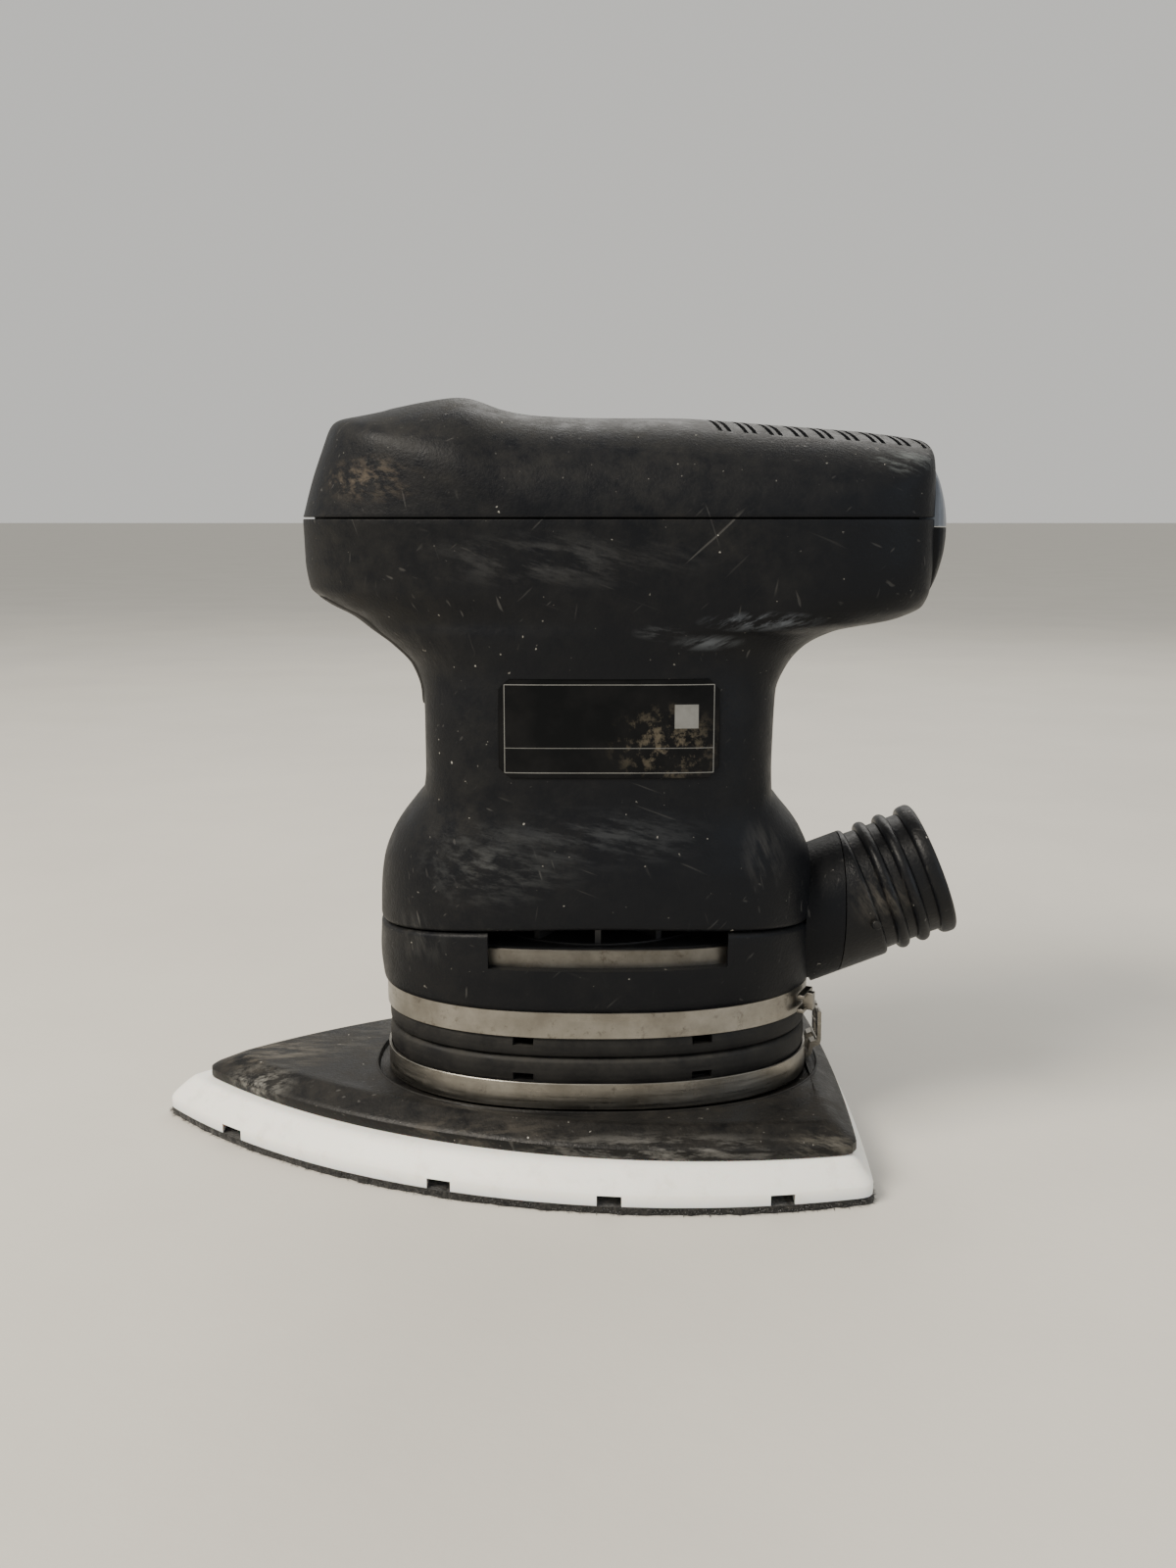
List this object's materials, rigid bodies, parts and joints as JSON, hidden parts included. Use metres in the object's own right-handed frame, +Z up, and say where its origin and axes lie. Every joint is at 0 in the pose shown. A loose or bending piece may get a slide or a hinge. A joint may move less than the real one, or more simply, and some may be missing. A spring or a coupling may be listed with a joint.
{
  "type": "orbital sander",
  "caption": "Delta pad orbital sander with a bulbous two-shell grip, strapped rubber skirt, pointed white sanding pad, side exhaust slots and an angled ribbed dust port.",
  "frame": {"origin": "on the motor axis at the underside of the hook layer, where the pad meets the work", "axes": "+X towards the dust port at the rear, -X towards the pad's tip, +Z up along the motor axis, +Y to the left of someone looking along +X"},
  "size_m": [0.1716, 0.1, 0.1537],
  "materials": {
    "charcoal_plastic": "matte",
    "carrier_plastic": "satin",
    "soft_grip": "matte",
    "grey_lens": "satin",
    "band_steel": "brushed",
    "sleeve_rubber": "matte",
    "label_film": "gloss",
    "pad_foam_white": "matte",
    "hook_fabric": "fuzzy",
    "machined_steel": "machined",
    "ball_steel": "polished",
    "core_steel": "laminated",
    "enamelled_copper": "enamelled",
    "commutator_copper": "bare",
    "carbon": "matte",
    "spring_wire": "plain",
    "inner_nylon": "matte",
    "switch_plastic": "satin",
    "capacitor_film": "gloss"
  },
  "bodies": {
    "housing": {"top_shell": "charcoal_plastic", "main_housing": "charcoal_plastic", "lower_collar": "charcoal_plastic", "rear_cap_lower": "charcoal_plastic", "dust_elbow": "charcoal_plastic", "dust_nozzle": "charcoal_plastic", "bayonet_pins": "charcoal_plastic", "front_grip_insert": "soft_grip", "rear_cap_upper": "grey_lens", "upper_band": "band_steel", "upper_band_clip": "band_steel", "exhaust_baffles": "band_steel", "rubber_sleeve": "sleeve_rubber", "name_plate": "label_film", "lower_bearing_outer_ring": "machined_steel", "upper_bearing_outer_ring": "machined_steel", "stator_core": "core_steel", "field_coils": "enamelled_copper", "inlet_contacts": "commutator_copper", "brush_holders": "commutator_copper", "carbon_brushes": "carbon", "brush_springs": "spring_wire", "air_divider": "inner_nylon", "lower_bearing_seat": "inner_nylon", "upper_bearing_bridge": "inner_nylon", "mains_inlet": "inner_nylon", "switch_module": "inner_nylon", "suppressor_capacitor": "capacitor_film"},
    "rotor": {"rotor_shaft": "machined_steel", "eccentric_screw": "machined_steel", "counterweight": "core_steel", "fan": "inner_nylon", "armature_core": "core_steel", "armature_windings": "enamelled_copper", "commutator": "commutator_copper", "lower_bearing_inner_ring": "machined_steel", "upper_bearing_inner_ring": "machined_steel", "eccentric_bearing_inner_ring": "machined_steel"},
    "pad": {"pad_carrier": "carrier_plastic", "pad_foam": "pad_foam_white", "hook_layer": "hook_fabric", "pad_screws": "machined_steel", "lower_band": "band_steel", "lower_band_clip": "band_steel", "eccentric_bearing_outer_ring": "machined_steel"},
    "rocker": {"rocker_switch": "switch_plastic"},
    "eccentric_ball_set": {"eccentric_bearing_balls": "ball_steel"},
    "lower_ball_set": {"lower_bearing_balls": "ball_steel"},
    "upper_ball_set": {"upper_bearing_balls": "ball_steel"}
  },
  "joints": [
    {"name": "motor_spin", "type": "hinge", "parent": "housing", "child": "rotor", "pos_m": [0, 0, 0.06], "axis": [0, 0, 1], "continuous": true},
    {"name": "pad_orbit", "type": "hinge", "parent": "rotor", "child": "pad", "pos_m": [0.001, 0, 0.0186], "axis": [0, 0, 1], "continuous": true, "deforming": ["rubber_sleeve"]},
    {"name": "switch_rock", "type": "hinge", "parent": "housing", "child": "rocker", "pos_m": [-0.0496, 0, 0.1372], "axis": [0, 1, 0], "range_deg": [-6, 6]},
    {"name": "upper_ball_roll", "type": "hinge", "parent": "housing", "child": "upper_ball_set", "pos_m": [0, 0, 0.1235], "axis": [0, 0, 1], "continuous": true},
    {"name": "lower_ball_roll", "type": "hinge", "parent": "housing", "child": "lower_ball_set", "pos_m": [0, 0, 0.058], "axis": [0, 0, 1], "continuous": true},
    {"name": "eccentric_ball_roll", "type": "hinge", "parent": "rotor", "child": "eccentric_ball_set", "pos_m": [0.001, 0, 0.0186], "axis": [0, 0, 1], "continuous": true}
  ],
  "couplings": [
    {"joint": "pad_orbit", "follows": "motor_spin", "ratio": -1},
    {"joint": "upper_ball_roll", "follows": "motor_spin", "ratio": 0.37},
    {"joint": "lower_ball_roll", "follows": "motor_spin", "ratio": 0.38},
    {"joint": "eccentric_ball_roll", "follows": "motor_spin", "ratio": -0.6}
  ]
}
